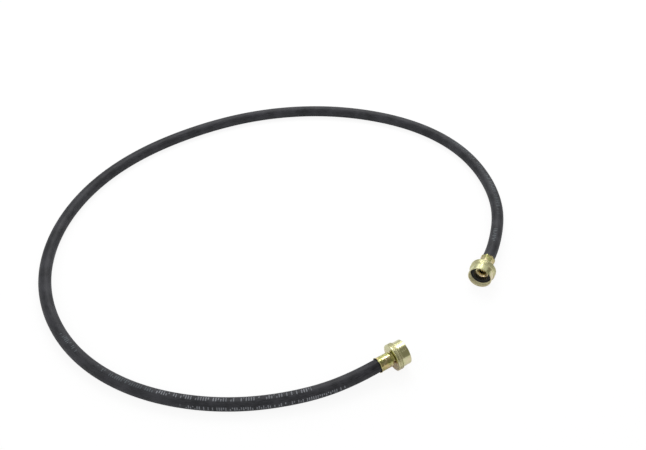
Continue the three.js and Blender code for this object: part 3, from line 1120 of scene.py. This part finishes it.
for end_name, end in ENDS.items():
    name = end_name + "_barbed_tailpiece"
    tailpiece = turned(name, tailpiece_corners(), TURNED_SEGMENTS, tailpiece_plate)
    set_in_place(tailpiece, end, "hose_line", end_name + "_tailpiece")

# %% Washer
WASHER_BACK_AT = 25.6
WASHER_FACE_AT = 29.4
WASHER_HOLE = 8.8
WASHER_RADIUS = 12.7
WASHER_CORNERS = [
    (WASHER_BACK_AT, WASHER_HOLE, 0.35), (WASHER_BACK_AT, WASHER_RADIUS, 0.5),
    (WASHER_FACE_AT, WASHER_RADIUS, 0.5), (WASHER_FACE_AT, WASHER_HOLE, 0.35),
]

for end_name, end in ENDS.items():
    name = end_name + "_rubber_washer"
    washer = turned(name, WASHER_CORNERS, TURNED_SEGMENTS, washer_rubber)
    set_in_place(washer, end, end_name + "_swivel", end_name + "_washer")

# %% [markdown]
# ## The studio
#
# The photograph is a product shot on pure white. More light could wash the floor out, but it would
# wash the object out too, so the floor itself adds a share of plain white where the camera looks
# at it, and keeps the shadow in the rest. What the metal mirrors stays the real paper, which is
# darker close to the nuts. Soft boxes behind and above the loop give the metal its bright band.
# Dark panels on the camera's side, which the camera can't see, give it the dark one, as a
# photographer would.

# %% Studio helpers
AIM = Vector((0.0, 0.2, 0.0))


def bare_material(name):
    material = bpy.data.materials.new(name)
    material.use_nodes = True
    material.node_tree.nodes.clear()
    return material


def sheet(name, width, height, level, material):
    corners = [(-1, -1), (1, -1), (1, 1), (-1, 1)]
    vertices = [(x * width / 2, y * height / 2, level) for x, y in corners]
    mesh = bpy.data.meshes.new(name)
    mesh.from_pydata(vertices, [], [(0, 1, 2, 3)])
    mesh.materials.append(material)
    return bpy.data.objects.new(name, mesh)


# %% White floor and surroundings
WHITE = (1, 1, 1, 1)
PAPER = (0.88, 0.88, 0.88, 1)
FLOOR_GLOW = 1.03
GLOW_SHARE = 0.86
FLOOR_SIZE = 8.0
FLOOR_LEVEL = -0.0001
SKY_LIGHT = 0.72
BACKDROP_LIGHT = 1.0

floor_white = bare_material("floor_white")
floor_tree = floor_white.node_tree
paper = put(floor_tree, "ShaderNodeBsdfDiffuse", {"Color": PAPER}).outputs[0]
glow = put(floor_tree, "ShaderNodeEmission", {"Color": WHITE, "Strength": FLOOR_GLOW}).outputs[0]
camera_looks = put(floor_tree, "ShaderNodeLightPath").outputs["Is Camera Ray"]
glow_share = math_node(floor_tree, "MULTIPLY", camera_looks, GLOW_SHARE)
floor_mix = put(floor_tree, "ShaderNodeMixShader", {0: glow_share, 1: paper, 2: glow}).outputs[0]
put(floor_tree, "ShaderNodeOutputMaterial", {"Surface": floor_mix})
studio_floor = sheet("studio_floor", FLOOR_SIZE, FLOOR_SIZE, FLOOR_LEVEL, floor_white)
scene.collection.objects.link(studio_floor)

world = bpy.data.worlds.new("studio_world")
world.use_nodes = True
scene.world = world
world_tree = world.node_tree
world_tree.nodes.clear()
surround = put(world_tree, "ShaderNodeBackground", {"Color": WHITE, "Strength": SKY_LIGHT})
backdrop = put(world_tree, "ShaderNodeBackground", {"Color": WHITE, "Strength": BACKDROP_LIGHT})
sky_seen = put(world_tree, "ShaderNodeLightPath").outputs["Is Camera Ray"]
world_mix = put(
    world_tree,
    "ShaderNodeMixShader",
    {0: sky_seen, 1: surround.outputs[0], 2: backdrop.outputs[0]},
)
put(world_tree, "ShaderNodeOutputWorld", {"Surface": world_mix.outputs[0]})

# %% Lamps and cards
CARD_TINT = (1.0, 0.95, 0.8, 1)
CARD_GLOW = 0.26


def aimed(piece, place):
    piece.location = place
    piece.rotation_euler = (AIM - Vector(place)).to_track_quat("-Z", "Y").to_euler()
    scene.collection.objects.link(piece)


def soft_box(name, place, width, height, power):
    lamp = bpy.data.lights.new(name, "AREA")
    lamp.shape = "RECTANGLE"
    lamp.size = width
    lamp.size_y = height
    lamp.energy = power
    aimed(bpy.data.objects.new(name, lamp), place)


soft_box("main_box", (0.56, 0.67, 1.09), 0.8, 0.56, 6.0)
soft_box("back_box", (1.2, 0.8, 0.65), 1.2, 0.6, 2.3)
soft_box("left_box", (-1.1, 0.9, 0.9), 0.7, 0.7, 1.6)

card_dark = bare_material("card_dark")
card_tree = card_dark.node_tree
# The card's dim brightness is painted as a glow, standing in for the lamp light a dark card catches
card_glow_light = put(card_tree, "ShaderNodeEmission", {"Color": CARD_TINT, "Strength": CARD_GLOW}).outputs[0]
put(card_tree, "ShaderNodeOutputMaterial", {"Surface": card_glow_light})


def dark_card(name, place, width, height):
    card = sheet(name, width, height, 0.0, card_dark)
    card.visible_camera = False
    card.visible_shadow = False
    card.visible_diffuse = False
    aimed(card, place)


dark_card("panel_behind_camera", (-0.1, -1.0, 0.75), 1.5, 1.3)
dark_card("panel_above", (0.28, -0.3, 1.4), 0.75, 0.95)
dark_card("panel_at_right", (1.36, -0.5, 0.38), 0.65, 0.72)
print("lamps:", [item.name for item in bpy.data.lights])

bpy.context.view_layer.update()
